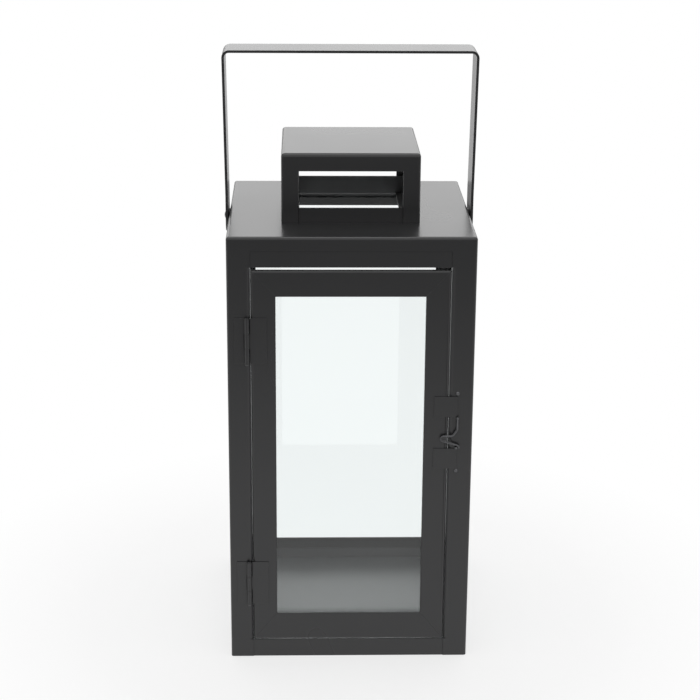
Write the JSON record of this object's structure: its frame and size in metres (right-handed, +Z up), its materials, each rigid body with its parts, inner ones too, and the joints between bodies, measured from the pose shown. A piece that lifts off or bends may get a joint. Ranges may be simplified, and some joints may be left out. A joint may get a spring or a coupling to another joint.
{
  "type": "candle lantern",
  "caption": "Square candle lantern of black folded sheet steel with glass walls, a hinged glazed door on a hook latch, a vented roof cowl and a swinging strap handle.",
  "frame": {"origin": "middle of the lantern's underside", "axes": "+X to the right seen from the door, +Y from the door to the rear, +Z up"},
  "size_m": [0.1468, 0.1431, 0.3521],
  "materials": {
    "black_powder_coat": "satin black powder coat on folded steel sheet",
    "black_hardware": "semi-gloss black coat on wire, rivets, hinges and clips",
    "clear_glass": "clear float glass with cut edges"
  },
  "bodies": {
    "lantern_body": {"base_tray": "black_powder_coat", "front_bottom_rail": "black_powder_coat", "front_top_rail": "black_powder_coat", "handle_rivets": "black_hardware", "handle_washers": "black_hardware", "latch_keeper": "black_hardware", "latch_keeper_strip": "black_hardware", "latch_post_rivets": "black_hardware", "left_bottom_rail": "black_powder_coat", "left_pane": "clear_glass", "left_pane_clips": "black_hardware", "left_top_rail": "black_powder_coat", "lower_hinge_frame_leaf": "black_hardware", "lower_hinge_pin": "black_hardware", "post_front_left": "black_powder_coat", "post_front_right": "black_powder_coat", "post_rear_left": "black_powder_coat", "post_rear_right": "black_powder_coat", "rear_bottom_rail": "black_powder_coat", "rear_pane": "clear_glass", "rear_pane_clips": "black_hardware", "rear_top_rail": "black_powder_coat", "right_bottom_rail": "black_powder_coat", "right_pane": "clear_glass", "right_pane_clips": "black_hardware", "right_top_rail": "black_powder_coat", "roof_sheet": "black_powder_coat", "upper_hinge_frame_leaf": "black_hardware", "upper_hinge_pin": "black_hardware", "vent_cowl": "black_powder_coat"},
    "door": {"door_bottom_rail": "black_powder_coat", "door_hinge_stile": "black_powder_coat", "door_latch_stile": "black_powder_coat", "door_pane": "clear_glass", "door_pane_clips": "black_hardware", "door_stop_tabs": "black_powder_coat", "door_top_rail": "black_powder_coat", "latch_stud": "black_hardware", "lower_hinge_door_leaf": "black_hardware", "upper_hinge_door_leaf": "black_hardware"},
    "handle": {"handle_strap": "black_powder_coat"},
    "latch": {"latch_hook": "black_hardware"}
  },
  "joints": [
    {"name": "door_swing", "type": "hinge", "parent": "lantern_body", "child": "door", "pos_m": [-0.0588, -0.0716, 0.1255], "axis": [0, 0, -1], "range_deg": [0, 170]},
    {"name": "handle_swing", "type": "hinge", "parent": "lantern_body", "child": "handle", "pos_m": [0, 0, 0.2534], "axis": [1, 0, 0], "range_deg": [-125, 90]},
    {"name": "latch_turn", "type": "hinge", "parent": "door", "child": "latch", "pos_m": [0.0534, -0.0718, 0.1392], "axis": [0, -1, 0], "range_deg": [0, 100]}
  ]
}
